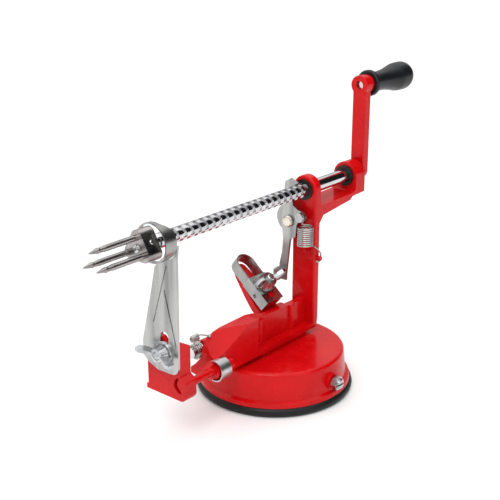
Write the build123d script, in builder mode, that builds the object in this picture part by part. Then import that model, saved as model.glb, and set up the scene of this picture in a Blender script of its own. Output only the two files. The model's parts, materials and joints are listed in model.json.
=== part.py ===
"""Hand-cranked apple peeler, corer and slicer on a lever suction base.

Frame: millimetres, +Z up. The origin is the centre of the suction pad's flat underside.
The drive rod lies along X, with the fork towards -X and the crank towards +X.
"""
from build123d import *
import math
import os

os.makedirs("parts", exist_ok=True)

# ---------------------------------------------------------------- driving dimensions
ROD_Z = 122.5           # height of the drive rod's axis
ROD_R = 4.4
THREAD_PITCH = 5.8
THREAD_DEPTH = 1.0
GROOVE_WIDTH = 2.9
THREAD_END_X = 26.5

DOME_TOP_Z = 26.7
DOME_WALL = 2.2
BODY_FOOT_Z = 30.0      # underside of the cast frame, on the dome's raised pad
HALF_WIDTH = 9.0        # the casting's flanges reach this far either side of y = 0
POST_X = 28.7           # fork-side face of the upright post
POST_T = 5.5
REAR_LUG_X = 72.6
REAR_LUG_T = 9.9
LUG_R = 9.0
BUSH_R = 5.8
BUSH_FLANGE_R = 6.6
SHAFT_FIT = 0.06        # radial running clearance of a shaft in its bore

CRANK_X = 85.5
CRANK_T = 6.5
CRANK_HALF = 5.1
CRANK_RADIUS = 57.5
HANDLE_Z = ROD_Z + CRANK_RADIUS
HANDLE_END_X = 143.0
HANDLE_PIN_R = 2.75
GRIP_X = CRANK_X + CRANK_T + 2.3   # the grip's end beside the crank
GRIP_R = 9.5

FORK_X = -115.6         # front face of the fork's hub
HUB_CORNER_R = 14.2     # the hub's triangle before its corners are rounded
PRONG_CIRCLE_R = 6.0
PRONG_R = 1.75
PRONG_TIP_X = -148.5

RING_R = 11.5
RING_WALL = 0.8
RING_FRONT_X = -105.2
PLATE_X = -97.0         # front face of the slicer plate
PLATE_T = 1.3
SLICER_BOLT_Y, SLICER_BOLT_Z = 1.4, 55.0
SLICER_BOLT_END_X = -103.4

BLOCK_FRONT_X = PLATE_X + PLATE_T
BLOCK_BACK_X = -85.5
TRUNNION_Y, TRUNNION_Z, TRUNNION_R = -9.4, 36.0, 2.5
TRUNNION_X = BLOCK_FRONT_X + 3.3   # blind end of the trunnion's bore

LATCH_X = 23.2          # fork-side face of the thread latch plate
LATCH_T = 1.6
THREAD_START_X = LATCH_X + LATCH_T / 2 - 20.75 * THREAD_PITCH   # brings the groove to the latch's tooth
LATCH_PIVOT_Y, LATCH_PIVOT_Z = 7.8, 101.5
LATCH_PIVOT_R = 2.2
SPRING_PIN_Y, SPRING_PIN_Z = -2.0, 106.0

PEELER_PIN_Y, PEELER_PIN_Z = 10.0, 40.5
PEELER_PIN_R = 2.2
ARM_HUB_R = 5.0
ARM_HUB_START_X, ARM_HUB_END_X = -49.0, 13.0
HEAD_LEAN = math.radians(39.7)   # the blade head leans back from the vertical plane of the rod

AXLE_Z = 15.0           # cam axle of the suction lever
AXLE_R = 3.0
LEVER_Y = 48.6
CAM_R, CAM_OFFSET = 5.0, 1.25


def rod_plane(x):
    """A plane square to the rod at x: its own X is the frame's Y, its own Y is the frame's Z."""
    return Plane(origin=(x, 0, 0), x_dir=(0, 1, 0), z_dir=(1, 0, 0))


def side_plane(y):
    """A plane seen from the near side at y: its own X is the frame's X, its own Y is the frame's Z."""
    return Plane(origin=(0, y, 0), x_dir=(1, 0, 0), z_dir=(0, -1, 0))


# The blade head's own frame: X along the rod, Y up along the loop, Z out of the slotted plate.
HEAD = Plane(
    origin=(-4.5, 2.0, 55.0),
    x_dir=(1, 0, 0),
    z_dir=(0, -math.sin(HEAD_LEAN), math.cos(HEAD_LEAN)),
)

# ---------------------------------------------------------------- suction base
with BuildPart() as suction_pad:
    with BuildSketch(Plane.XZ):
        with BuildLine():
            Polyline((0, 0), (48.1, 0))
            RadiusArc((48.1, 0), (48.1, 5.6), -3.0)
            Polyline((48.1, 5.6), (43.6, 5.6), (42.4, 2.6), (0, 2.6), (0, 0))
        make_face()
    revolve(axis=Axis.Z)
suction_pad.part.label = "suction_pad"

with BuildPart() as base_dome:
    with BuildSketch(Plane.XZ):
        with BuildLine():
            Polyline((0, DOME_TOP_Z), (42.2, DOME_TOP_Z))
            RadiusArc((42.2, DOME_TOP_Z), (44.4, 24.3), 2.4)
            Polyline((44.4, 24.3), (45.8, 9.2), (48.0, 8.2), (48.4, 5.7), (43.4, 5.7),
                     (43.2, 9.0), (42.2, DOME_TOP_Z - DOME_WALL), (0, DOME_TOP_Z - DOME_WALL),
                     (0, DOME_TOP_Z))
        make_face()
    revolve(axis=Axis.Z)
    with BuildSketch(Plane.XY.offset(DOME_TOP_Z - 0.5)):
        with Locations((3, 0)):
            RectangleRounded(46, 14, 3)
    extrude(amount=BODY_FOOT_Z - DOME_TOP_Z + 0.5)
    with BuildSketch(side_plane(47.2)):
        with Locations((0, AXLE_Z)):
            Circle(5.2)
    extrude(amount=5)
    with BuildSketch(side_plane(-42.2)):
        with Locations((0, AXLE_Z)):
            Circle(5.2)
    extrude(amount=5)
    with BuildSketch(side_plane(55)):
        with Locations((0, AXLE_Z)):
            Circle(AXLE_R + SHAFT_FIT)
    extrude(amount=110, mode=Mode.SUBTRACT)
    with Locations((-14, 0, BODY_FOOT_Z), (20, 0, BODY_FOOT_Z)):
        Hole(radius=2.6, depth=8)
base_dome.part.label = "base_dome"

with BuildPart() as base_screws:
    with Locations((-14, 0, 0), (20, 0, 0)):
        with Locations((0, 0, 22.7)):
            Cylinder(4.4, 1.8, align=(Align.CENTER, Align.CENTER, Align.MIN))
        with Locations((0, 0, 24.5)):
            Cylinder(2.4, 8.3, align=(Align.CENTER, Align.CENTER, Align.MIN))
base_screws.part.label = "base_screws"

# The eccentric sits on the axle under the stirrup's top bar and lifts it as the lever goes over.
with BuildPart() as lever_axle:
    with BuildSketch(side_plane(50.6)):
        with Locations((0, AXLE_Z)):
            Circle(AXLE_R)
    extrude(amount=98.4)
    with BuildSketch(side_plane(2.6)):
        with Locations((0, AXLE_Z - CAM_OFFSET)):
            Circle(CAM_R)
    extrude(amount=5.2)
lever_axle.part.label = "lever_axle"

with BuildPart() as axle_nut:
    with BuildSketch(side_plane(-47.9)):
        with Locations((0, AXLE_Z)):
            RegularPolygon(4.5, 6)
    extrude(amount=3.4)
    with BuildSketch(side_plane(-51.3)):
        with Locations((0, AXLE_Z)):
            Circle(3.5)
    extrude(amount=1.6)
    chamfer(axle_nut.faces().sort_by(Axis.Y)[0].edges(), 0.8)
    with BuildSketch(side_plane(-51.9)):
        with Locations((0, AXLE_Z)):
            Rectangle(8, 1.2)
    extrude(amount=1.2, mode=Mode.SUBTRACT)
axle_nut.part.label = "axle_nut"

with BuildPart() as suction_lever:
    with BuildSketch(side_plane(LEVER_Y + 2.4)):
        with BuildLine():
            Polyline((0, AXLE_Z + 6), (30, AXLE_Z + 3.6), (38, AXLE_Z + 3.6))
            RadiusArc((38, AXLE_Z + 3.6), (38, AXLE_Z - 3.6), 3.7)
            Polyline((38, AXLE_Z - 3.6), (30, AXLE_Z - 3.6), (0, AXLE_Z - 6))
            RadiusArc((0, AXLE_Z - 6), (0, AXLE_Z + 6), 6.05)
        make_face()
    extrude(amount=2.4)
    with BuildSketch(side_plane(LEVER_Y + 4.6)):
        with Locations((36, AXLE_Z)):
            RectangleRounded(9, 6.4, 2)
    extrude(amount=2.6)
    with BuildSketch(side_plane(55)):
        with Locations((0, AXLE_Z)):
            Circle(AXLE_R)
    extrude(amount=8, mode=Mode.SUBTRACT)
    fillet(suction_lever.edges().filter_by(GeomType.CIRCLE).group_by(Axis.Y)[-1], 0.5)
suction_lever.part.label = "suction_lever"

STIRRUP_TOP_Z = AXLE_Z - CAM_OFFSET + CAM_R + 0.35
with BuildPart() as lift_stirrup:
    with Locations((0, 0, 2.9)):
        Cylinder(16, 1.5, align=(Align.CENTER, Align.CENTER, Align.MIN))
    with BuildSketch(side_plane(3.4)):
        with Locations((0, (4.0 + STIRRUP_TOP_Z + 2.2) / 2)):
            Rectangle(17, STIRRUP_TOP_Z + 2.2 - 4.0)
        with Locations((0, (6.4 + STIRRUP_TOP_Z) / 2)):
            Rectangle(12.6, STIRRUP_TOP_Z - 6.4, mode=Mode.SUBTRACT)
    extrude(amount=6.8)
lift_stirrup.part.label = "lift_stirrup"

# ---------------------------------------------------------------- cast frame
with BuildPart() as frame_body:
    # upright post, arm over the rod's rear half, and the near and far flanges
    with BuildSketch(side_plane(HALF_WIDTH)):
        with BuildLine():
            Polyline(
                (POST_X, BODY_FOOT_Z), (32.0, BODY_FOOT_Z), (POST_X + POST_T, 38.6),
                (POST_X + POST_T, 101.5), (37.4, 105.4), (66.5, 108.6), (69.5, 110.6),
                (REAR_LUG_X + REAR_LUG_T, 111.2), (REAR_LUG_X + REAR_LUG_T, ROD_Z),
                (REAR_LUG_X, ROD_Z), (REAR_LUG_X, 114.2), (70.8, 112.8), (POST_X + POST_T + 1.5, 112.2),
                (POST_X + POST_T, 113.6), (POST_X + POST_T, ROD_Z), (POST_X, ROD_Z), (POST_X, BODY_FOOT_Z),
            )
        make_face()
    extrude(amount=2 * HALF_WIDTH)
    for lug_x, lug_t in ((POST_X, POST_T), (REAR_LUG_X, REAR_LUG_T)):
        with BuildSketch(rod_plane(lug_x)):
            with Locations((0, ROD_Z)):
                Circle(LUG_R)
        extrude(amount=lug_t)
    fillet(frame_body.edges().filter_by(Axis.Z).filter_by_position(Axis.Z, 60, 90), 1.2)
    # foot flange and the thin web between it and the post
    with BuildSketch(Plane.XY.offset(BODY_FOOT_Z)):
        with Locations((-8.0, 0)):
            Rectangle(78.0, 2 * HALF_WIDTH)
    extrude(amount=3.0)
    with BuildSketch(side_plane(2.0)):
        with BuildLine():
            Polyline((-26, 31), (-26, 53.5), (-18, 52.4), (-11, 50.4), (24, 49.6), (POST_X + 1, 50.6),
                     (POST_X + 1, 31), (-26, 31))
        make_face()
    extrude(amount=4.0)
    # deep sloping beam towards the slicer; its top leans down to the near side, and it narrows into the web
    with BuildSketch(side_plane(2.0)):
        with BuildLine():
            Polyline((-66.0, 33.5), (-65.5, 44.0), (-63.8, 48.0), (-61.4, 50.6), (-55.4, 53.4), (-49.8, 54.2),
                     (-26.6, 54.6), (-16.0, 52.6), (-16.0, BODY_FOOT_Z), (-47.0, BODY_FOOT_Z), (-66.0, 33.5))
        make_face()
    extrude(amount=11.0)
    with BuildSketch(Plane(origin=(-76.1, -HALF_WIDTH, 36.1), x_dir=(1, 0, 0.435), z_dir=(-0.435, -0.8, 1))):
        with Locations((12.0, 0)):
            Rectangle(66.0, 60.0)
    extrude(amount=30, mode=Mode.SUBTRACT)
    with BuildSketch(Plane.XY.offset(33)):
        with BuildLine():
            Polyline((-26.6, -HALF_WIDTH), (-15.5, -2), (-10, -2), (-10, -10), (-26.6, -10),
                     (-26.6, -HALF_WIDTH))
        make_face()
    extrude(amount=30, mode=Mode.SUBTRACT)
    # tail and round boss that carry the trunnion
    with BuildSketch(side_plane(-4.8)):
        with BuildLine():
            Polyline((-79.0, 34.2), (-76.1, 36.1), (-64.0, 41.4), (-57.7, 44.4), (-50.0, 46.0), (-50.0, 31.5),
                     (-64.0, 32.0), (-79.0, 34.2))
        make_face()
    extrude(amount=4.2)
    with BuildSketch(rod_plane(-67.5)):
        with Locations((TRUNNION_Y, TRUNNION_Z - 0.6)):
            Circle(4.4)
    extrude(amount=14)
    with BuildSketch(rod_plane(TRUNNION_X)):
        with Locations((TRUNNION_Y, TRUNNION_Z)):
            Circle(TRUNNION_R)
    extrude(amount=33)
    # lugs for the peeler's pivot pin, at both ends of the arm's hub
    with BuildSketch(rod_plane(-56.5)):
        with Locations((PEELER_PIN_Y, PEELER_PIN_Z)):
            Circle(5.0)
        with BuildLine():
            Polyline((0, BODY_FOOT_Z + 1), (0, 47.5), (8.0, 44.6), (15.0, 40.5), (13.5, 35.5),
                     (9.0, BODY_FOOT_Z + 1), (0, BODY_FOOT_Z + 1))
        make_face()
    extrude(amount=6.0)
    with BuildSketch(rod_plane(14.0)):
        with Locations((PEELER_PIN_Y, PEELER_PIN_Z)):
            Circle(5.2)
        with Locations((4.5, 37.5)):
            Rectangle(11.0, 9.0)
    extrude(amount=6)
    # wall that closes the beam's end towards the slicer
    with BuildSketch(rod_plane(-64.5)):
        with BuildLine():
            Polyline((-5.0, 45.0), (-1.2, 44.3), (4.4, 38.2), (8.4, 33.6), (12.0, 30.6), (12.0, 27.2),
                     (6.4, 26.4), (-5.0, 28.6), (-5.0, 45.0))
        make_face()
    extrude(amount=8.0)
    # screw bosses on both faces of the web
    for boss_x in (-17.0, 14.0):
        with BuildSketch(Plane.XY.offset(32.5)):
            with Locations((boss_x, -2.0)):
                Circle(2.4)
        extrude(amount=17.3)
    # bores
    with BuildSketch(rod_plane(POST_X - 1)):
        with Locations((0, ROD_Z)):
            Circle(BUSH_R)
    extrude(amount=60, mode=Mode.SUBTRACT)
    with BuildSketch(rod_plane(-70)):
        with Locations((PEELER_PIN_Y, PEELER_PIN_Z)):
            Circle(PEELER_PIN_R)
    extrude(amount=100, mode=Mode.SUBTRACT)
    with BuildSketch(rod_plane(POST_X - 1)):
        with Locations((LATCH_PIVOT_Y, LATCH_PIVOT_Z)):
            Circle(LATCH_PIVOT_R)
    extrude(amount=8, mode=Mode.SUBTRACT)
    with Locations((-14, 0, BODY_FOOT_Z), (20, 0, BODY_FOOT_Z)):
        Cylinder(2.4, 3.0, align=(Align.CENTER, Align.CENTER, Align.MIN), mode=Mode.SUBTRACT)
frame_body.part.label = "frame_body"

# ---------------------------------------------------------------- bushings in the two lugs
with BuildPart() as front_bushing:
    with BuildSketch(rod_plane(POST_X - 1.3)):
        with Locations((0, ROD_Z)):
            Circle(BUSH_FLANGE_R)
    extrude(amount=1.3)
    with BuildSketch(rod_plane(POST_X)):
        with Locations((0, ROD_Z)):
            Circle(BUSH_R)
    extrude(amount=POST_T)
    with BuildSketch(rod_plane(POST_X - 2)):
        with Locations((0, ROD_Z)):
            Circle(ROD_R + SHAFT_FIT)
    extrude(amount=12, mode=Mode.SUBTRACT)
front_bushing.part.label = "front_bushing"

with BuildPart() as rear_bushing:
    with BuildSketch(rod_plane(REAR_LUG_X - 1.5)):
        with Locations((0, ROD_Z)):
            Circle(BUSH_FLANGE_R + 0.2)
    extrude(amount=1.4)
    with BuildSketch(rod_plane(REAR_LUG_X - 0.2)):
        with Locations((0, ROD_Z)):
            Circle(BUSH_R - SHAFT_FIT)
    extrude(amount=REAR_LUG_T)
    with BuildSketch(rod_plane(REAR_LUG_X - 2)):
        with Locations((0, ROD_Z)):
            Circle(ROD_R + SHAFT_FIT)
    extrude(amount=16, mode=Mode.SUBTRACT)
rear_bushing.part.label = "rear_bushing"

# ---------------------------------------------------------------- drive rod and fork
ROD_AXIS = Axis((0, 0, ROD_Z), (1, 0, 0))
PIN_R = 1.3
# The locking pin enters through the hub's upper near facet, square to it.
PIN_PLANE = Plane(
    origin=(FORK_X + 5.2, 0, ROD_Z),
    x_dir=(1, 0, 0),
    z_dir=(0, math.cos(math.radians(150)), math.sin(math.radians(150))),
)
with BuildPart() as drive_rod:
    with BuildSketch(side_plane(0)):
        with BuildLine():
            Polyline(
                (FORK_X - 1.6, ROD_Z), (FORK_X - 1.5, ROD_Z + 1.2), (FORK_X - 0.8, ROD_Z + 2.2),
                (FORK_X, ROD_Z + 2.4), (FORK_X, ROD_Z + 1.8), (FORK_X + 1.6, ROD_Z + 1.8),
                (FORK_X + 1.6, ROD_Z + 4.0), (-102.0, ROD_Z + 4.0), (-101.0, ROD_Z + ROD_R),
                (CRANK_X, ROD_Z + ROD_R), (CRANK_X, ROD_Z + 3.2), (CRANK_X + CRANK_T + 0.5, ROD_Z + 3.2),
                (CRANK_X + CRANK_T + 1.0, ROD_Z + 2.6), (CRANK_X + CRANK_T + 1.0, ROD_Z),
                (FORK_X - 1.6, ROD_Z),
            )
        make_face()
    revolve(axis=ROD_AXIS)
    with BuildLine() as thread_path:
        Helix(
            pitch=THREAD_PITCH,
            height=THREAD_END_X - THREAD_START_X,
            radius=ROD_R,
            center=(THREAD_START_X, 0, ROD_Z),
            direction=(1, 0, 0),
        )
    groove_start = thread_path.line @ 0
    with BuildSketch(
        Plane(
            origin=groove_start,
            x_dir=groove_start - Vector(THREAD_START_X, 0, ROD_Z),
            z_dir=thread_path.line % 0,
        )
    ):
        Rectangle(2 * THREAD_DEPTH, GROOVE_WIDTH)
    sweep(path=thread_path.line, is_frenet=True, mode=Mode.SUBTRACT)
    with BuildSketch(PIN_PLANE.offset(2.6)):
        Circle(PIN_R)
    extrude(amount=10, mode=Mode.SUBTRACT)
drive_rod.part.label = "drive_rod"

with BuildPart() as fork_hub:
    with BuildSketch(rod_plane(FORK_X)) as hub_outline:
        with Locations((0, ROD_Z)):
            RegularPolygon(HUB_CORNER_R, 3, rotation=90)
        fillet(hub_outline.vertices(), 4.0)
    extrude(amount=9.6)
    with BuildSketch(rod_plane(FORK_X + 1.6)) as hub_inside:
        with Locations((0, ROD_Z)):
            RegularPolygon(HUB_CORNER_R, 3, rotation=90)
        fillet(hub_inside.vertices(), 4.0)
        offset(amount=-1.4, mode=Mode.REPLACE)
    extrude(amount=10, mode=Mode.SUBTRACT)
    with BuildSketch(rod_plane(FORK_X - 1)):
        with Locations((0, ROD_Z)):
            Circle(1.8)
            with PolarLocations(PRONG_CIRCLE_R, 3, start_angle=90):
                Circle(PRONG_R)
    extrude(amount=4, mode=Mode.SUBTRACT)
    with BuildSketch(PIN_PLANE.offset(2.6)):
        Circle(PIN_R)
    extrude(amount=10, mode=Mode.SUBTRACT)
fork_hub.part.label = "fork_hub"

with BuildPart() as fork_cross_pin:
    with BuildSketch(PIN_PLANE.offset(2.7)):
        Circle(PIN_R)
    extrude(amount=4.9)
    chamfer(fork_cross_pin.faces().sort_by(Axis.Y)[0].edges(), 0.35)
fork_cross_pin.part.label = "fork_cross_pin"

with BuildPart() as fork_prongs:
    for angle in (90, 210, 330):
        prong_y = PRONG_CIRCLE_R * math.cos(math.radians(angle))
        prong_z = ROD_Z + PRONG_CIRCLE_R * math.sin(math.radians(angle))
        with BuildSketch(side_plane(prong_y)):
            with BuildLine():
                Polyline(
                    (PRONG_TIP_X, prong_z), (PRONG_TIP_X + 0.5, prong_z + 0.35),
                    (PRONG_TIP_X + 6.0, prong_z + 1.6), (PRONG_TIP_X + 6.6, prong_z + 1.6),
                    (PRONG_TIP_X + 7.4, prong_z + 1.35), (PRONG_TIP_X + 8.2, prong_z + 1.45),
                    (PRONG_TIP_X + 11.0, prong_z + PRONG_R),
                    (FORK_X + 7.0, prong_z + PRONG_R), (FORK_X + 7.0, prong_z), (PRONG_TIP_X, prong_z),
                )
            make_face()
        revolve(axis=Axis((0, prong_y, prong_z), (1, 0, 0)))
fork_prongs.part.label = "fork_prongs"

# ---------------------------------------------------------------- crank and handle
with BuildPart() as crank_arm:
    with BuildSketch(rod_plane(CRANK_X)):
        with Locations((0, ROD_Z)):
            Circle(CRANK_HALF)
        with Locations((0, HANDLE_Z)):
            Circle(6.3)
        with Locations((0, (ROD_Z + HANDLE_Z) / 2)):
            Rectangle(2 * CRANK_HALF, CRANK_RADIUS)
    extrude(amount=CRANK_T)
    with BuildSketch(rod_plane(CRANK_X + CRANK_T)):
        with Locations((0, HANDLE_Z)):
            Circle(5.9)
    extrude(amount=2.0)
    fillet(crank_arm.edges().filter_by(Axis.Z), 1.0)
    with BuildSketch(rod_plane(CRANK_X - 1)):
        with Locations((0, ROD_Z)):
            Circle(3.2)
        with Locations((0, HANDLE_Z)):
            Circle(HANDLE_PIN_R)
    extrude(amount=12, mode=Mode.SUBTRACT)
crank_arm.part.label = "crank_arm"

with BuildPart() as handle_pin:
    with BuildSketch(rod_plane(CRANK_X + 2.0)):
        with Locations((0, HANDLE_Z)):
            Circle(HANDLE_PIN_R)
    extrude(amount=HANDLE_END_X - 5.6 - CRANK_X - 2.0)
    chamfer(handle_pin.faces().sort_by(Axis.X)[0].edges(), 0.5)
handle_pin.part.label = "handle_pin"

with BuildPart() as handle_grip:
    with BuildSketch(side_plane(0)):
        with BuildLine():
            Polyline(
                (HANDLE_END_X - 4.8, HANDLE_Z), (HANDLE_END_X - 4.8, HANDLE_Z + HANDLE_PIN_R + SHAFT_FIT),
                (GRIP_X, HANDLE_Z + HANDLE_PIN_R + SHAFT_FIT), (GRIP_X, HANDLE_Z + 7.9),
                (GRIP_X + 0.9, HANDLE_Z + 8.6), (GRIP_X + 3.0, HANDLE_Z + 8.6),
                (GRIP_X + 4.0, HANDLE_Z + 7.6),
            )
            Spline(
                (GRIP_X + 4.0, HANDLE_Z + 7.6), (GRIP_X + 9.5, HANDLE_Z + 6.4),
                (GRIP_X + 18.0, HANDLE_Z + 6.8),
                (GRIP_X + 29.0, HANDLE_Z + 8.7), (HANDLE_END_X - GRIP_R, HANDLE_Z + GRIP_R),
                tangents=((0.6, -0.8), (1, 0)),
            )
            RadiusArc((HANDLE_END_X - GRIP_R, HANDLE_Z + GRIP_R), (HANDLE_END_X, HANDLE_Z), GRIP_R)
            Line((HANDLE_END_X, HANDLE_Z), (HANDLE_END_X - 4.8, HANDLE_Z))
        make_face()
    revolve(axis=Axis((0, 0, HANDLE_Z), (1, 0, 0)))
handle_grip.part.label = "handle_grip"

# ---------------------------------------------------------------- slicer and corer
with BuildPart() as slicer_block:
    with BuildSketch(rod_plane(BLOCK_FRONT_X)) as block_outline:
        with BuildLine():
            Polyline((16, 27.5), (16, 64.0), (3.4, 64.0), (0.4, 61.2), (-3.6, 59.4), (-5.6, 61.0),
                     (-5.6, 64.4), (-9.6, 64.4), (-9.6, 42.4), (-14.2, 39.8), (-14.2, 27.5), (16, 27.5))
        make_face()
        fillet(block_outline.vertices().sort_by(Axis.X)[:2].sort_by(Axis.Y)[0], 4.6)
        fillet(block_outline.vertices().filter_by_position(Axis.Y, 39, 43), 1.0)
    extrude(amount=BLOCK_BACK_X - BLOCK_FRONT_X)
    fillet(slicer_block.edges().filter_by(Axis.Y).group_by(Axis.Z)[0].sort_by(Axis.X)[-1], 2.5)
    with BuildSketch(rod_plane(BLOCK_FRONT_X + 3.0)):
        with Locations((3.5, 55.5)):
            Rectangle(19.0, 17.0)
    extrude(amount=20, mode=Mode.SUBTRACT)
    # the near wall falls away towards the back, and its lug stops short of it
    with BuildSketch(side_plane(-5.5)):
        with BuildLine():
            Polyline((BLOCK_FRONT_X, 64.4), (BLOCK_BACK_X, 58.4), (BLOCK_BACK_X, 66.0), (BLOCK_FRONT_X, 66.0),
                     (BLOCK_FRONT_X, 64.4))
        make_face()
    extrude(amount=5, mode=Mode.SUBTRACT)
    with BuildSketch(rod_plane(BLOCK_BACK_X - 1.6)):
        with Locations((-12.4, 35.0)):
            Rectangle(4.0, 16.0)
    extrude(amount=3, mode=Mode.SUBTRACT)
    with BuildSketch(rod_plane(BLOCK_FRONT_X)):
        with Locations((16.4, 28.9)):
            Rectangle(2.0, 2.8)
    extrude(amount=8)
    with BuildSketch(rod_plane(TRUNNION_X)):
        with Locations((TRUNNION_Y, TRUNNION_Z)):
            Circle(TRUNNION_R)
    extrude(amount=20, mode=Mode.SUBTRACT)
    with BuildSketch(rod_plane(BLOCK_FRONT_X - 1)):
        with Locations((SLICER_BOLT_Y, SLICER_BOLT_Z)):
            Circle(2.5)
    extrude(amount=6, mode=Mode.SUBTRACT)
    # crescent cast into the front face beside the trunnion
    with BuildSketch(rod_plane(BLOCK_FRONT_X)):
        with Locations((TRUNNION_Y - 0.2, TRUNNION_Z + 1.0)):
            Circle(4.9)
        with Locations((TRUNNION_Y - 1.8, TRUNNION_Z + 1.6)):
            Circle(3.9, mode=Mode.SUBTRACT)
        with Locations((TRUNNION_Y + 4.2, TRUNNION_Z + 0.2)):
            Rectangle(8.4, 9.6, rotation=-12, mode=Mode.INTERSECT)
    extrude(amount=2.8, mode=Mode.SUBTRACT)
slicer_block.part.label = "slicer_block"

with BuildPart() as slicer_plate:
    with BuildSketch(rod_plane(PLATE_X)) as plate_outline:
        with BuildLine():
            Polyline(
                (1.0, 111.5), (6.5, 105.4), (10.5, 87.8), (17.9, 58.7), (18.3, 49.2), (13.6, 45.7),
                (6.6, 43.0), (-2.6, 43.2), (-9.9, 43.6), (-10.6, 113.3), (-11.5, 121.4), (1.0, 121.4),
                (1.0, 111.5),
            )
        make_face()
        lower_end = plate_outline.vertices().filter_by_position(Axis.Y, 40, 55)
        fillet(lower_end.filter_by_position(Axis.X, 5, 20), 2.2)
        fillet(plate_outline.vertices().filter_by_position(Axis.Y, 40, 55).sort_by(Axis.X)[0], 5.4)
        with Locations((0, ROD_Z)):
            Circle(RING_R, mode=Mode.SUBTRACT)
        with Locations((SLICER_BOLT_Y - 0.5, SLICER_BOLT_Z + 4.6)):
            SlotCenterToCenter(10.6, 6.4, rotation=96.0, mode=Mode.SUBTRACT)
    extrude(amount=PLATE_T)
    # pressed crease lines either side of the flat cutting strip
    with BuildSketch(rod_plane(PLATE_X)):
        with Locations((-4.6, 77.0)):
            SlotOverall(34.0, 0.9, rotation=75.8)
        with Locations((3.0, 90.0)):
            SlotOverall(38.0, 0.7, rotation=107.5)
    extrude(amount=0.45, mode=Mode.SUBTRACT)
slicer_plate.part.label = "slicer_plate"

with BuildPart() as coring_ring:
    with BuildSketch(rod_plane(RING_FRONT_X)):
        with Locations((0, ROD_Z)):
            Circle(RING_R)
            Circle(RING_R - RING_WALL, mode=Mode.SUBTRACT)
    extrude(amount=PLATE_X - RING_FRONT_X)
    # the strip is wide where it leaves the plate on the near side, and narrows round the loop
    with BuildSketch(Plane.XY.offset(ROD_Z - 20)):
        with BuildLine():
            Polyline((RING_FRONT_X + 2.4, 14), (RING_FRONT_X + 2.4, 2), (RING_FRONT_X + 3.4, -4.0),
                     (PLATE_X, -9.5), (PLATE_X + 5, -9.5), (PLATE_X + 5, 14), (RING_FRONT_X + 2.4, 14))
        make_face()
    extrude(amount=40, mode=Mode.SUBTRACT)
coring_ring.part.label = "coring_ring"

with BuildPart() as slicer_bolt:
    with BuildSketch(rod_plane(SLICER_BOLT_END_X)):
        with Locations((SLICER_BOLT_Y, SLICER_BOLT_Z)):
            Circle(2.4)
    extrude(amount=BLOCK_FRONT_X + 3.0 - SLICER_BOLT_END_X)
    with BuildSketch(rod_plane(BLOCK_FRONT_X + 3.0)):
        with Locations((SLICER_BOLT_Y, SLICER_BOLT_Z)):
            Circle(4.8)
    extrude(amount=2.4)
    chamfer(slicer_bolt.faces().sort_by(Axis.X)[0].edges(), 0.5)
slicer_bolt.part.label = "slicer_bolt"

WASHER_T = 1.5
with BuildPart() as slicer_washer:
    with BuildSketch(rod_plane(PLATE_X - WASHER_T)):
        with Locations((SLICER_BOLT_Y, SLICER_BOLT_Z)):
            Circle(7.3)
            Circle(2.6, mode=Mode.SUBTRACT)
    extrude(amount=WASHER_T)
    chamfer(slicer_washer.faces().sort_by(Axis.X)[0].edges().sort_by(SortBy.LENGTH)[-1], 0.4)
slicer_washer.part.label = "slicer_washer"


def wing_nut(face, hub_r, hub_h, reach, flare):
    """A wing nut on its plane: the hub stands along the plane's normal and the wings lie along its X."""
    with BuildPart() as nut:
        with BuildSketch(face):
            Circle(hub_r)
        with BuildSketch(face.offset(hub_h)):
            Circle(hub_r - 1.2)
        loft()
        for side in (1, -1):
            wing_face = Plane(origin=face.origin + face.y_dir, x_dir=face.x_dir * side, z_dir=face.y_dir * -1)
            with BuildSketch(wing_face):
                with BuildLine():
                    Polyline(
                        (2.9, 0.6 * side), (hub_r, 0.6 * side), (reach * 0.72, flare * 0.22 * side),
                        (reach, flare * 0.5 * side), (reach - 0.6, flare * 0.96 * side),
                        (reach - 3.6, flare * side), (reach * 0.5, flare * 0.76 * side),
                        (2.9, flare * 0.56 * side), (2.9, 0.6 * side),
                    )
                make_face()
            extrude(amount=2.0)
        with BuildSketch(face.offset(-1)):
            Circle(2.4 + SHAFT_FIT)
        extrude(amount=hub_h + 12, mode=Mode.SUBTRACT)
    return nut


slicer_wing_nut = wing_nut(
    Plane(
        origin=(PLATE_X - WASHER_T - 0.1, SLICER_BOLT_Y, SLICER_BOLT_Z),
        x_dir=(0, math.cos(math.radians(8)), math.sin(math.radians(8))),
        z_dir=(-1, 0, 0),
    ),
    5.4, 4.6, 14.0, 8.4,
)
slicer_wing_nut.part.label = "slicer_wing_nut"

with BuildPart() as trunnion_clip:
    with BuildSketch(rod_plane(-67.2)):
        with BuildLine():
            clip_in = CenterArc((TRUNNION_Y, TRUNNION_Z - 0.6), 5.9, 70, 215)
            clip_out = CenterArc((TRUNNION_Y, TRUNNION_Z - 0.6), 6.6, 70, 215)
            Line(clip_in @ 0, clip_out @ 0)
            Line(clip_in @ 1, clip_out @ 1)
        make_face()
    extrude(amount=8.4)
    add(frame_body.part, mode=Mode.SUBTRACT)
trunnion_clip.part.label = "trunnion_clip"

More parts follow.
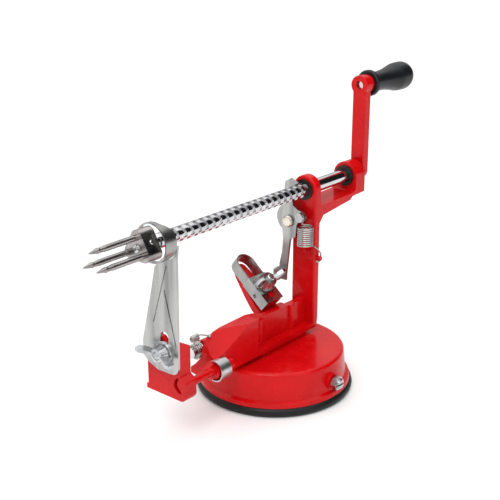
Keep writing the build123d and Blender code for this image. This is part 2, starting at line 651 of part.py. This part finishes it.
# ---------------------------------------------------------------- thread latch and its spring
with BuildPart() as thread_latch:
    with BuildSketch(rod_plane(LATCH_X)) as latch_outline:
        with BuildLine():
            Polyline((13.0, 95.4), (12.4, 89.0), (12.9, 80.0), (15.0, 71.0), (15.0, 60.5), (9.6, 60.5),
                     (9.6, 63.9), (6.9, 88.2), (6.2, 89.6), (2.4, 91.7), (1.6, 99.5), (0.2, 102.0),
                     (-4.2, 102.8), (-5.4, 106.2), (-3.4, 109.2), (0.8, 110.0), (4.8, 112.4), (5.2, 117.6),
                     (5.6, 120.4), (1.5, 127.3), (6.9, 129.8), (11.1, 127.0), (11.6, 122.5), (9.8, 117.0),
                     (9.2, 112.4))
            ThreePointArc((9.2, 112.4), (17.4, 104.0), (13.0, 95.4))
        make_face()
        fillet(latch_outline.vertices().filter_by_position(Axis.Y, 90, 109.5), 0.8)
        with Locations((0, ROD_Z)):
            Circle(ROD_R + 0.5, mode=Mode.SUBTRACT)
        with Locations((5.6, ROD_Z)):
            Rectangle(3.5, 2.4)
        with Locations((LATCH_PIVOT_Y, LATCH_PIVOT_Z)):
            Circle(LATCH_PIVOT_R + SHAFT_FIT, mode=Mode.SUBTRACT)
        with Locations((SPRING_PIN_Y, SPRING_PIN_Z)):
            Circle(1.3, mode=Mode.SUBTRACT)
    extrude(amount=LATCH_T)
    with BuildSketch(side_plane(15.0)):
        with Locations((20.5, 65.0)):
            RectangleRounded(7.0, 9.0, 1.2)
    extrude(amount=1.6)
thread_latch.part.label = "thread_latch"

with BuildPart() as latch_spring_pin:
    with BuildSketch(rod_plane(20.6)):
        with Locations((SPRING_PIN_Y, SPRING_PIN_Z)):
            Circle(3.0)
    extrude(amount=0.9)
    with BuildSketch(rod_plane(21.5)):
        with Locations((SPRING_PIN_Y, SPRING_PIN_Z)):
            Circle(1.3)
    extrude(amount=LATCH_X + LATCH_T - 21.5)
latch_spring_pin.part.label = "latch_spring_pin"

with BuildPart() as latch_pivot_rivet:
    with BuildSketch(rod_plane(20.9)):
        with Locations((LATCH_PIVOT_Y, LATCH_PIVOT_Z)):
            Circle(3.9)
    extrude(amount=2.1)
    fillet(latch_pivot_rivet.faces().sort_by(Axis.X)[0].edges(), 1.4)
    with BuildSketch(rod_plane(23.0)):
        with Locations((LATCH_PIVOT_Y, LATCH_PIVOT_Z)):
            Circle(LATCH_PIVOT_R)
    extrude(amount=POST_X + POST_T - 23.0)
    with BuildSketch(rod_plane(LATCH_X + LATCH_T + 0.2)):
        with Locations((LATCH_PIVOT_Y, LATCH_PIVOT_Z)):
            Circle(3.4)
    extrude(amount=POST_X - LATCH_X - LATCH_T - 0.2)
latch_pivot_rivet.part.label = "latch_pivot_rivet"

SPRING_X, SPRING_Y = 22.4, -6.2
COIL_BOTTOM_Z, COIL_TOP_Z, COIL_R = 88.2, 100.6, 4.7
WIRE_R = 0.5
with BuildPart() as latch_spring:
    with BuildLine() as coil_path:
        Helix(pitch=(COIL_TOP_Z - COIL_BOTTOM_Z) / 9, height=COIL_TOP_Z - COIL_BOTTOM_Z, radius=COIL_R,
              center=(SPRING_X, SPRING_Y, COIL_BOTTOM_Z))
    with BuildSketch(Plane(origin=coil_path.line @ 0, z_dir=coil_path.line % 0)):
        Circle(WIRE_R)
    sweep(path=coil_path.line, is_frenet=True)
    coil_end_top = coil_path.line @ 1
    coil_end_low = coil_path.line @ 0
    # upper hook round the latch's spring pin
    with BuildLine() as upper_hook:
        Polyline(coil_end_top, (SPRING_X + 0.2, SPRING_Y + 2.6, COIL_TOP_Z + 1.0),
                 (SPRING_X, SPRING_PIN_Y - 2.2, SPRING_PIN_Z - 1.2),
                 (SPRING_X, SPRING_PIN_Y - 1.9, SPRING_PIN_Z + 1.4),
                 (SPRING_X, SPRING_PIN_Y, SPRING_PIN_Z + 2.2),
                 (SPRING_X, SPRING_PIN_Y + 2.0, SPRING_PIN_Z + 1.0),
                 (SPRING_X, SPRING_PIN_Y + 2.1, SPRING_PIN_Z - 0.8))
    with BuildSketch(Plane(origin=upper_hook.line @ 0, z_dir=upper_hook.line % 0)):
        Circle(WIRE_R * 0.98)
    sweep(path=upper_hook.line, transition=Transition.ROUND)
    # lower hook round the anchor stud on the post
    with BuildLine() as lower_hook:
        Polyline(coil_end_low, (SPRING_X + 4.6, SPRING_Y - 3.6, COIL_BOTTOM_Z - 1.0), (30.2, -10.4, 84.6),
                 (33.6, -10.4, 81.0), (33.8, -10.4, 77.2), (31.6, -10.4, 75.5), (29.2, -10.4, 76.8))
    with BuildSketch(Plane(origin=lower_hook.line @ 0, z_dir=lower_hook.line % 0)):
        Circle(WIRE_R * 0.98)
    sweep(path=lower_hook.line, transition=Transition.ROUND)
latch_spring.part.label = "latch_spring"

with BuildPart() as spring_anchor:
    with BuildSketch(side_plane(-HALF_WIDTH)):
        with Locations((31.5, 78.2)):
            Circle(1.5)
    extrude(amount=3.0)
    with BuildSketch(rod_plane(POST_X - 3.0)):
        with Locations((-3.8, 83.2)):
            Circle(1.0)
    extrude(amount=3.0)
spring_anchor.part.label = "spring_anchor"

# ---------------------------------------------------------------- peeling arm and blade
with BuildPart() as peeler_arm:
    with BuildSketch(rod_plane(ARM_HUB_START_X)):
        with Locations((PEELER_PIN_Y, PEELER_PIN_Z)):
            Circle(ARM_HUB_R)
    extrude(amount=ARM_HUB_END_X - ARM_HUB_START_X)
    with BuildSketch(HEAD.offset(-13.8)):
        with BuildLine():
            Polyline((-1, -1.5), (-1, 5), (1.3, 15), (5.2, 29.0), (7.2, 33.4))
            RadiusArc((7.2, 33.4), (14.4, 33.0), 4.2)
            Polyline((14.4, 33.0), (16, 24), (16, -1.5), (-1, -1.5))
        make_face()
    extrude(amount=4.6)
    with BuildSketch(HEAD.offset(-9.6)):
        with Locations((8.4, 10.0)):
            Rectangle(12.8, 20.0)
    extrude(amount=8.6)
    with BuildSketch(HEAD.offset(-20)):
        with Locations((8.2, 12.2)):
            Circle(2.4)
    extrude(amount=30, mode=Mode.SUBTRACT)
    with BuildSketch(rod_plane(-60)):
        with Locations((PEELER_PIN_Y, PEELER_PIN_Z)):
            Circle(PEELER_PIN_R + SHAFT_FIT)
    extrude(amount=90, mode=Mode.SUBTRACT)
peeler_arm.part.label = "peeler_arm"

with BuildPart() as peeler_pivot_pin:
    with BuildSketch(rod_plane(-66.4)):
        with Locations((PEELER_PIN_Y, PEELER_PIN_Z)):
            Circle(3.2)
    extrude(amount=1.4)
    with BuildSketch(rod_plane(-65.0)):
        with Locations((PEELER_PIN_Y, PEELER_PIN_Z)):
            Circle(PEELER_PIN_R)
    extrude(amount=85.0)
peeler_pivot_pin.part.label = "peeler_pivot_pin"

TORSION_R = 4.4
LEG_Z = PEELER_PIN_Z + 10.6
with BuildPart() as peeler_spring:
    with BuildLine() as torsion_path:
        Helix(
            pitch=1.5,
            height=6.0,
            radius=TORSION_R,
            center=(-63.8, PEELER_PIN_Y, PEELER_PIN_Z),
            direction=(1, 0, 0),
        )
    with BuildSketch(Plane(origin=torsion_path.line @ 0, z_dir=torsion_path.line % 0)):
        Circle(0.5)
    sweep(path=torsion_path.line, is_frenet=True)
    torsion_start = torsion_path.line @ 0
    with BuildLine() as torsion_leg:
        Polyline(torsion_start, (-64.2, PEELER_PIN_Y - 0.6, PEELER_PIN_Z + 6.4),
                 (-65.0, PEELER_PIN_Y, LEG_Z - 2.2),
                 (-63.6, PEELER_PIN_Y - 0.6, LEG_Z), (-61.4, PEELER_PIN_Y - 4.0, LEG_Z + 1.2),
                 (-60.0, PEELER_PIN_Y - 9.4, LEG_Z + 1.6))
    with BuildSketch(Plane(origin=torsion_leg.line @ 0, z_dir=torsion_leg.line % 0)):
        Circle(0.49)
    sweep(path=torsion_leg.line, transition=Transition.ROUND)
    with Locations(torsion_leg.line @ 1):
        Sphere(1.1)
    # small tight coil in the leg, above the pin
    with BuildLine() as leg_coil:
        Helix(
            pitch=1.1,
            height=5.5,
            radius=1.7,
            center=(-66.0, PEELER_PIN_Y - 0.4, LEG_Z - 1.7),
            direction=(1, 0, 0),
        )
    with BuildSketch(Plane(origin=leg_coil.line @ 0, z_dir=leg_coil.line % 0)):
        Circle(0.48)
    sweep(path=leg_coil.line, is_frenet=True)
peeler_spring.part.label = "peeler_spring"

with BuildPart() as blade_bracket:
    with BuildSketch(HEAD.offset(-1)):
        with Locations((7.8, 10.15)):
            Rectangle(15.6, 20.3)
        with Locations((8.2, 9.3)):
            SlotOverall(13.6, 5.2, rotation=90, mode=Mode.SUBTRACT)
    extrude(amount=1.0)
    with BuildSketch(HEAD.offset(-8)):
        with Locations((0.6, 10.15)):
            Rectangle(1.2, 20.3)
    extrude(amount=7.5)
    with BuildSketch(Plane(origin=HEAD.from_local_coords((-1, 9.5, -5.0)), z_dir=(1, 0, 0))):
        Circle(1.3)
    extrude(amount=3, mode=Mode.SUBTRACT)
blade_bracket.part.label = "blade_bracket"

with BuildPart() as peeling_blade:
    with BuildSketch(HEAD.offset(-8.4)):
        with BuildLine():
            Polyline((1.2, 3.0), (1.2, 30.8))
            ThreePointArc((1.2, 30.8), (8.4, 38.0), (15.6, 30.8))
            Polyline((15.6, 30.8), (15.6, 8.0), (14.8, 8.0), (14.8, 30.8))
            ThreePointArc((14.8, 30.8), (8.4, 37.2), (2.0, 30.8))
            Polyline((2.0, 30.8), (2.0, 3.0), (1.2, 3.0))
        make_face()
    extrude(amount=7.3)
peeling_blade.part.label = "peeling_blade"

with BuildPart() as blade_bolt:
    with BuildSketch(HEAD.offset(-16.2)):
        with Locations((8.2, 12.2)):
            RegularPolygon(4.6, 6)
    extrude(amount=2.4)
    with BuildSketch(HEAD.offset(-13.8)):
        with Locations((8.2, 12.2)):
            Circle(2.4)
    extrude(amount=23.0)
    chamfer(blade_bolt.faces().sort_by(Axis((0, 0, 0), HEAD.z_dir))[-1].edges(), 0.5)
blade_bolt.part.label = "blade_bolt"

with BuildPart() as blade_washer:
    with BuildSketch(HEAD):
        with Locations((8.2, 12.2)):
            Circle(6.2)
            Circle(2.6, mode=Mode.SUBTRACT)
    extrude(amount=1.0)
blade_washer.part.label = "blade_washer"

blade_wing_nut = wing_nut(
    Plane(origin=HEAD.from_local_coords((8.2, 12.2, 1.1)), x_dir=(1, 0, 0), z_dir=HEAD.z_dir),
    6.0, 6.0, 12.8, 10.4,
)
blade_wing_nut.part.label = "blade_wing_nut"

for piece in (
    suction_pad, base_dome, base_screws, lever_axle, axle_nut, suction_lever, lift_stirrup, frame_body,
    front_bushing, rear_bushing, drive_rod, fork_hub, fork_cross_pin, fork_prongs, crank_arm, handle_pin,
    handle_grip, slicer_block, slicer_plate, coring_ring, slicer_bolt, slicer_washer, slicer_wing_nut,
    trunnion_clip, thread_latch, latch_spring_pin, latch_pivot_rivet, latch_spring, spring_anchor,
    peeler_arm, peeler_pivot_pin, peeler_spring, blade_bracket, peeling_blade, blade_bolt, blade_washer,
    blade_wing_nut,
):
    export_step(piece.part, f"parts/{piece.part.label}.step")
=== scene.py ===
"""Looks for the hand-cranked apple peeler, corer and slicer: materials, lights and camera.

Metres, +Z up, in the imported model's own frame.
"""
import json
import math

import bpy
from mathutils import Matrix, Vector

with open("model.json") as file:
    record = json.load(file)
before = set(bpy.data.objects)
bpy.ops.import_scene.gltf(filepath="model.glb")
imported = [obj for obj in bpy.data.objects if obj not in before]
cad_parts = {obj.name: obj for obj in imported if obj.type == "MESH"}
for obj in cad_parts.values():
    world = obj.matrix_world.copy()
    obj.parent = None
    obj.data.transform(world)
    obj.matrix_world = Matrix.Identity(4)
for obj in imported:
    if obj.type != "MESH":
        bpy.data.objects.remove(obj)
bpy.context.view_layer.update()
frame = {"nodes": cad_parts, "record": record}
nodes = frame["nodes"]

ENAMEL_EDGE = 0.0005
ENAMEL_EDGE_ANGLE = math.radians(32)
FLOOR_HALF = 9
CAMERA_PLACE = Vector((-0.45328, -0.36553, 0.29952))
CAMERA_TARGET = Vector((-0.02394, 0, 0.09651))
CAMERA_LENS = 72.1
KEY_POWER = 4.0
FRONT_POWER = 0.8
TENT_STRENGTH = 1.2
BACKDROP = (0.85, 0.85, 0.85)


# ---------------------------------------------------------------- materials
def new_material(name):
    """A node material: returns (material, node tree, principled shader, object coordinates)."""
    mat = bpy.data.materials.new(name)
    mat.use_nodes = True
    tree = mat.node_tree
    shader = tree.nodes["Principled BSDF"]
    coords = tree.nodes.new("ShaderNodeTexCoord").outputs["Object"]
    return mat, tree, shader, coords


def stretched(tree, coords, scale):
    """The coordinates scaled along each axis, so that a pattern on them is drawn out."""
    mapping = tree.nodes.new("ShaderNodeMapping")
    mapping.inputs["Scale"].default_value = scale
    tree.links.new(coords, mapping.inputs["Vector"])
    return mapping.outputs["Vector"]


def noise(tree, vector, scale, detail=4.0, roughness=0.55):
    """Noise between 0 and 1."""
    node = tree.nodes.new("ShaderNodeTexNoise")
    node.inputs["Scale"].default_value = scale
    node.inputs["Detail"].default_value = detail
    node.inputs["Roughness"].default_value = roughness
    tree.links.new(vector, node.inputs["Vector"])
    return node.outputs["Fac"]


def ramp(tree, factor, stops):
    """Colour ramp from (position, (r, g, b)) stops."""
    node = tree.nodes.new("ShaderNodeValToRGB")
    elements = node.color_ramp.elements
    while len(elements) < len(stops):
        elements.new(0.5)
    for element, (place, colour) in zip(elements, stops):
        element.position = place
        element.color = (*colour, 1.0)
    tree.links.new(factor, node.inputs["Fac"])
    return node.outputs["Color"]


def span(tree, factor, low, high):
    """Spreads the middle of a noise over low to high."""
    node = tree.nodes.new("ShaderNodeMapRange")
    node.inputs["From Min"].default_value = 0.3
    node.inputs["From Max"].default_value = 0.7
    node.inputs["To Min"].default_value = low
    node.inputs["To Max"].default_value = high
    tree.links.new(factor, node.inputs["Value"])
    return node.outputs["Result"]


def bumps(tree, shader, layers):
    """Chains bump layers of (height socket, strength, distance)."""
    normal = None
    for height, strength, distance in layers:
        node = tree.nodes.new("ShaderNodeBump")
        node.inputs["Strength"].default_value = strength
        node.inputs["Distance"].default_value = distance
        tree.links.new(height, node.inputs["Height"])
        if normal is not None:
            tree.links.new(normal, node.inputs["Normal"])
        normal = node.outputs["Normal"]
    tree.links.new(normal, shader.inputs["Normal"])


def enamel(name):
    """Thick glossy red enamel over a sand casting."""
    mat, tree, shader, coords = new_material(name)
    broad = noise(tree, coords, 38.0, 3.0)
    fine = noise(tree, coords, 620.0, 3.0)
    flow = noise(tree, coords, 150.0, 2.0)
    tint = ramp(tree, broad, [(0.3, (0.52, 0.0016, 0.0030)), (0.7, (0.63, 0.0036, 0.0056))])
    tree.links.new(tint, shader.inputs["Base Color"])
    tree.links.new(span(tree, flow, 0.20, 0.30), shader.inputs["Roughness"])
    shader.inputs["Coat Weight"].default_value = 0.14
    shader.inputs["Coat Roughness"].default_value = 0.04
    shader.inputs["Specular IOR Level"].default_value = 0.13
    bumps(tree, shader, [(flow, 0.10, 0.0006), (fine, 0.05, 0.00012)])
    return mat


def metal(name, dark, light, rough, grain=(1, 1, 1), broad=(1, 1, 1), broad_scale=60.0, depth=0.02):
    """Worked metal: grain and broad stretch its fine and broad marks, rough is its (low, high) roughness."""
    mat, tree, shader, coords = new_material(name)
    shader.inputs["Metallic"].default_value = 1.0
    patches = noise(tree, stretched(tree, coords, broad), broad_scale, 3.0)
    marks = noise(tree, stretched(tree, coords, grain), 900.0, 5.0, 0.6)
    tree.links.new(ramp(tree, patches, [(0.30, dark), (0.70, light)]), shader.inputs["Base Color"])
    both = tree.nodes.new("ShaderNodeMath")
    both.operation = "MULTIPLY"
    tree.links.new(marks, both.inputs[0])
    tree.links.new(patches, both.inputs[1])
    root = tree.nodes.new("ShaderNodeMath")
    root.operation = "SQRT"
    tree.links.new(both.outputs["Value"], root.inputs[0])
    tree.links.new(span(tree, root.outputs["Value"], *rough), shader.inputs["Roughness"])
    bumps(tree, shader, [(marks, depth, 0.0002)])
    return mat


def dull(name, dark, light, rough, grain_scale, depth):
    """Rubber or moulded plastic with a fine grain and a faint bloom."""
    mat, tree, shader, coords = new_material(name)
    broad = noise(tree, coords, 55.0, 4.0)
    grain = noise(tree, coords, grain_scale, 3.0, 0.6)
    tree.links.new(ramp(tree, broad, [(0.3, dark), (0.72, light)]), shader.inputs["Base Color"])
    tree.links.new(span(tree, broad, *rough), shader.inputs["Roughness"])
    shader.inputs["Specular IOR Level"].default_value = 0.3
    bumps(tree, shader, [(grain, depth, 0.0003)])
    return mat


looks = {
    "red_enamel": enamel("red_enamel_look"),
    "pad_rubber": dull("rubber_look", (0.004, 0.004, 0.004), (0.008, 0.008, 0.008), (0.38, 0.55),
                       700.0, 0.12),
    "black_plastic": dull("black_plastic_look", (0.008, 0.008, 0.008), (0.014, 0.014, 0.014), (0.25, 0.40),
                          500.0, 0.05),
    "grip_plastic": dull("grip_look", (0.0060, 0.0062, 0.0080), (0.0100, 0.0105, 0.0130), (0.28, 0.40),
                         800.0, 0.06),
    "plated_steel": metal("plated_look", (0.50, 0.50, 0.52), (0.68, 0.68, 0.69), (0.07, 0.15), (1, 3, 3),
                          depth=0.01),
    # The sheet steel's broad, stretched base-colour streaks are painted shade: darker bands standing in for
    # the shading along the plate's creases and curved edges.
    "sheet_steel": metal("sheet_painted_shade_look", (0.25, 0.25, 0.25), (0.52, 0.52, 0.51), (0.20, 0.36), (6.0, 6.0, 0.5),
                         (1.0, 3.2, 0.22), 42.0),
    "spring_steel": metal("spring_look", (0.36, 0.35, 0.34), (0.56, 0.55, 0.53), (0.14, 0.26)),
    "golden_zinc": metal("golden_look", (0.58, 0.50, 0.42), (0.84, 0.79, 0.70), (0.20, 0.32),
                         broad_scale=220.0),
    "axle_steel": metal("axle_look", (0.45, 0.45, 0.45), (0.60, 0.60, 0.60), (0.28, 0.42)),
}
# Nodes whose finish differs from the rest of their slot: the fork is worked steel, the fastenings dull zinc.
fork_look = metal("fork_look", (0.21, 0.195, 0.19), (0.48, 0.45, 0.44), (0.18, 0.32), (0.6, 2.0, 2.0),
                  (0.5, 1.5, 1.5), 110.0)
zinc_look = metal("zinc_look", (0.34, 0.35, 0.36), (0.58, 0.59, 0.60), (0.18, 0.30), broad_scale=180.0,
                  depth=0.04)
bracket_look = metal("bracket_look", (0.24, 0.24, 0.24), (0.46, 0.45, 0.44), (0.10, 0.20), (5.0, 0.6, 0.6),
                     (2.5, 0.5, 0.5), 90.0)
clip_look = metal("clip_look", (0.46, 0.47, 0.48), (0.66, 0.67, 0.68), (0.26, 0.40), (0.4, 3.0, 3.0),
                  broad_scale=140.0, depth=0.06)
own_looks = {
    "fork_hub": fork_look,
    "fork_prongs": fork_look,
    "fork_cross_pin": zinc_look,
    "slicer_wing_nut": zinc_look,
    "slicer_washer": zinc_look,
    "slicer_bolt": zinc_look,
    "axle_nut": zinc_look,
    "blade_bolt": zinc_look,
    "blade_washer": bracket_look,
    "blade_bracket": bracket_look,
    "blade_wing_nut": zinc_look,
    "latch_spring_pin": zinc_look,
    "trunnion_clip": clip_look,
}
slot_of = {entry["node"]: entry["material_slot"] for entry in frame["record"]["subparts"]}
for name, node in nodes.items():
    node.data.materials.clear()
    node.data.materials.append(own_looks.get(name, looks[slot_of[name]]))

# The castings' edges are rounded by the enamel.
for name in ("frame_body", "slicer_block", "crank_arm", "peeler_arm", "base_dome"):
    rounding = nodes[name].modifiers.new("enamel_edge", "BEVEL")
    rounding.width = ENAMEL_EDGE
    rounding.segments = 2
    rounding.limit_method = "ANGLE"
    rounding.angle_limit = ENAMEL_EDGE_ANGLE
    rounding.harden_normals = True

# ---------------------------------------------------------------- floor, lights and camera
pale, pale_tree, pale_shader, pale_coords = new_material("floor_look")
pale_shader.inputs["Roughness"].default_value = 0.9
pale_mottle = noise(pale_tree, pale_coords, 3.0)
pale_tint = ramp(pale_tree, pale_mottle, [(0.3, (0.90, 0.90, 0.90)), (0.7, (0.93, 0.93, 0.93))])
pale_tree.links.new(pale_tint, pale_shader.inputs["Base Color"])
floor_mesh = bpy.data.meshes.new("floor")
corners = [(x * FLOOR_HALF, y * FLOOR_HALF, 0) for x, y in ((-1, -1), (1, -1), (1, 1), (-1, 1))]
floor_mesh.from_pydata(corners, [], [(0, 1, 2, 3)])
floor = bpy.data.objects.new("floor", floor_mesh)
floor_mesh.materials.append(pale)
bpy.context.scene.collection.objects.link(floor)

# A studio tent, brighter overhead, with one tall dark opening in front and to the right for the steel.
world = bpy.data.worlds.new("studio")
world.use_nodes = True
sky = world.node_tree
direction = sky.nodes.new("ShaderNodeTexCoord").outputs["Generated"]
split = sky.nodes.new("ShaderNodeSeparateXYZ")
sky.links.new(direction, split.inputs["Vector"])


def edge(axis, start, full):
    """0 before start, 1 past full, along one axis of the direction."""
    node = sky.nodes.new("ShaderNodeMapRange")
    node.interpolation_type = "SMOOTHSTEP"
    node.inputs["From Min"].default_value = start
    node.inputs["From Max"].default_value = full
    sky.links.new(split.outputs[axis], node.inputs["Value"])
    return node.outputs["Result"]


def blend_colours(factor, first, second):
    """From first to second by factor. Each is an (r, g, b) or a socket."""
    node = sky.nodes.new("ShaderNodeMix")
    node.data_type = "RGBA"
    sky.links.new(factor, node.inputs["Factor"])
    for socket, value in (("A", first), ("B", second)):
        target = [entry for entry in node.inputs if entry.name == socket and entry.type == "RGBA"][0]
        if isinstance(value, tuple):
            target.default_value = (*value, 1.0)
        else:
            sky.links.new(value, target)
    return [entry for entry in node.outputs if entry.type == "RGBA"][0]


def times(first, second):
    """The product of two sockets."""
    node = sky.nodes.new("ShaderNodeMath")
    node.operation = "MULTIPLY"
    sky.links.new(first, node.inputs[0])
    sky.links.new(second, node.inputs[1])
    return node.outputs["Value"]


heights = [(0.0, (0.33, 0.33, 0.33)), (0.35, (0.60, 0.60, 0.60)), (1.0, (1.50, 1.50, 1.50))]
tent = ramp(sky, split.outputs["Z"], heights)
opening = times(times(edge("X", 0.15, 0.30), edge("Y", 0.10, -0.02)), edge("Z", 0.74, 0.66))
tent = blend_colours(opening, tent, (0.012, 0.012, 0.013))
seen = sky.nodes.new("ShaderNodeLightPath").outputs["Is Camera Ray"]
sky.links.new(blend_colours(seen, tent, BACKDROP), sky.nodes["Background"].inputs["Color"])
sky.nodes["Background"].inputs["Strength"].default_value = TENT_STRENGTH
bpy.context.scene.world = world
bpy.context.scene.view_settings.view_transform = "Standard"


def softbox(name, place, target, size, power):
    """A rectangular area lamp at place, turned to target."""
    data = bpy.data.lights.new(name, "AREA")
    data.shape = "RECTANGLE"
    data.size, data.size_y = size
    data.energy = power
    lamp = bpy.data.objects.new(name, data)
    lamp.location = place
    lamp.rotation_euler = (Vector(target) - Vector(place)).to_track_quat("-Z", "Y").to_euler()
    bpy.context.scene.collection.objects.link(lamp)


softbox("key", (-0.75, -0.35, 1.15), (0, 0, 0.08), (0.6, 0.6), KEY_POWER)
softbox("front", (-0.25, -1.00, 0.50), (0, 0, 0.08), (0.7, 0.3), FRONT_POWER)

camera_data = bpy.data.cameras.new("camera")
camera_data.lens = CAMERA_LENS
camera_data.sensor_width = 36.0
camera_data.clip_start = 0.01
camera = bpy.data.objects.new("camera", camera_data)
camera.location = CAMERA_PLACE
camera.rotation_euler = (CAMERA_TARGET - CAMERA_PLACE).to_track_quat("-Z", "Y").to_euler()
bpy.context.scene.collection.objects.link(camera)
bpy.context.scene.camera = camera
